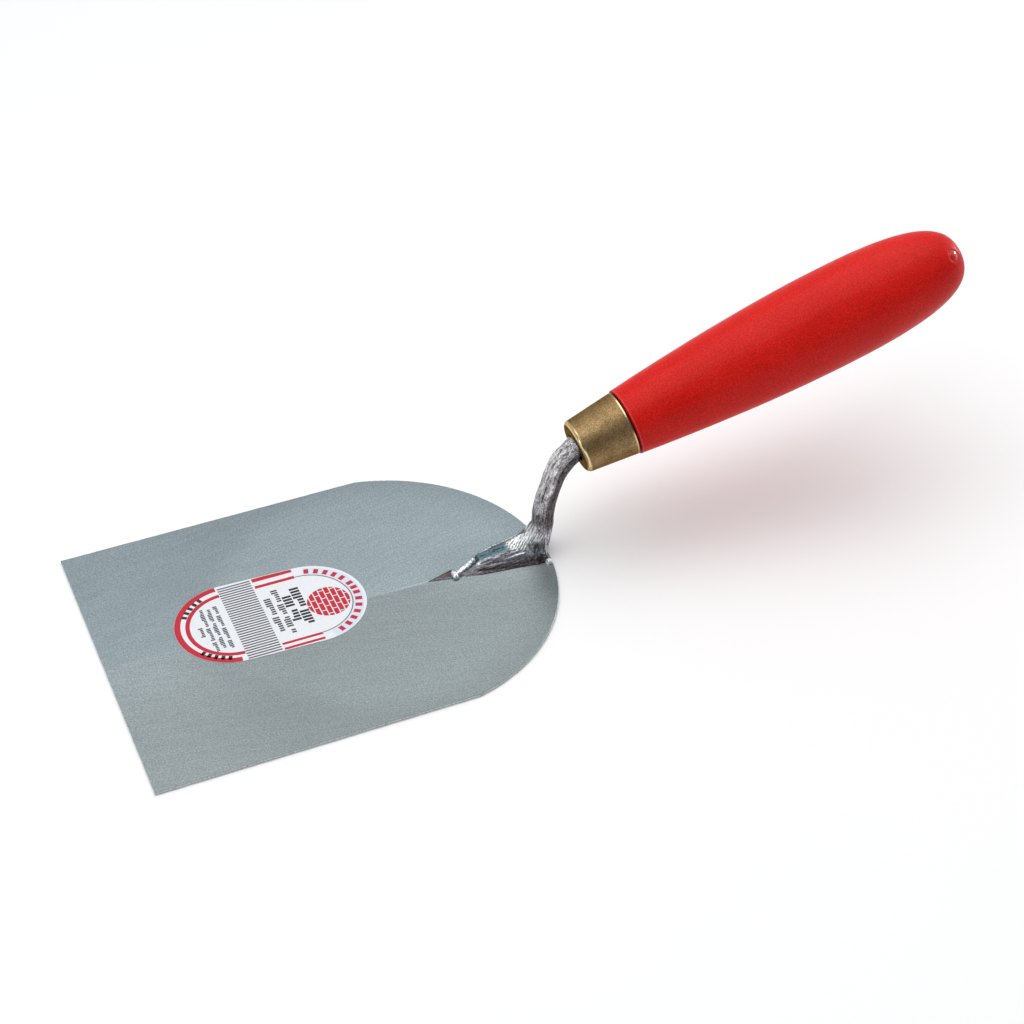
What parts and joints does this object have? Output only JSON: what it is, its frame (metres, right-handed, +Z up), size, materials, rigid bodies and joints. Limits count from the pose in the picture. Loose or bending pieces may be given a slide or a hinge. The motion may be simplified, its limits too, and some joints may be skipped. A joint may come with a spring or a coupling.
{
  "type": "brick trowel",
  "caption": "Brick trowel with a flat square-toed blade, round heel, forged S-neck, brass ferrule and red turned wooden handle.",
  "frame": {"origin": "centre of the blade's underside, halfway between toe and heel", "axes": "+X from the square toe to the handle, +Y to the left side, +Z up, away from the face the trowel rests on"},
  "size_m": [0.3212, 0.1238, 0.0916],
  "materials": {
    "blade": "fine ground sheet steel, satin",
    "neck": "forged steel, hammer and draw marks, semi-matt",
    "weld": "rippled weld bead, bright",
    "ferrule": "satin brass, slightly darkened",
    "handle": "turned beech under red gloss lacquer",
    "label": "printed paper, satin"
  },
  "bodies": {
    "root": {"blade": "blade", "label": "label", "neck": "neck", "weld_left": "weld", "weld_right": "weld", "weld_tip": "weld", "ferrule": "ferrule", "handle": "handle"}
  },
  "joints": []
}
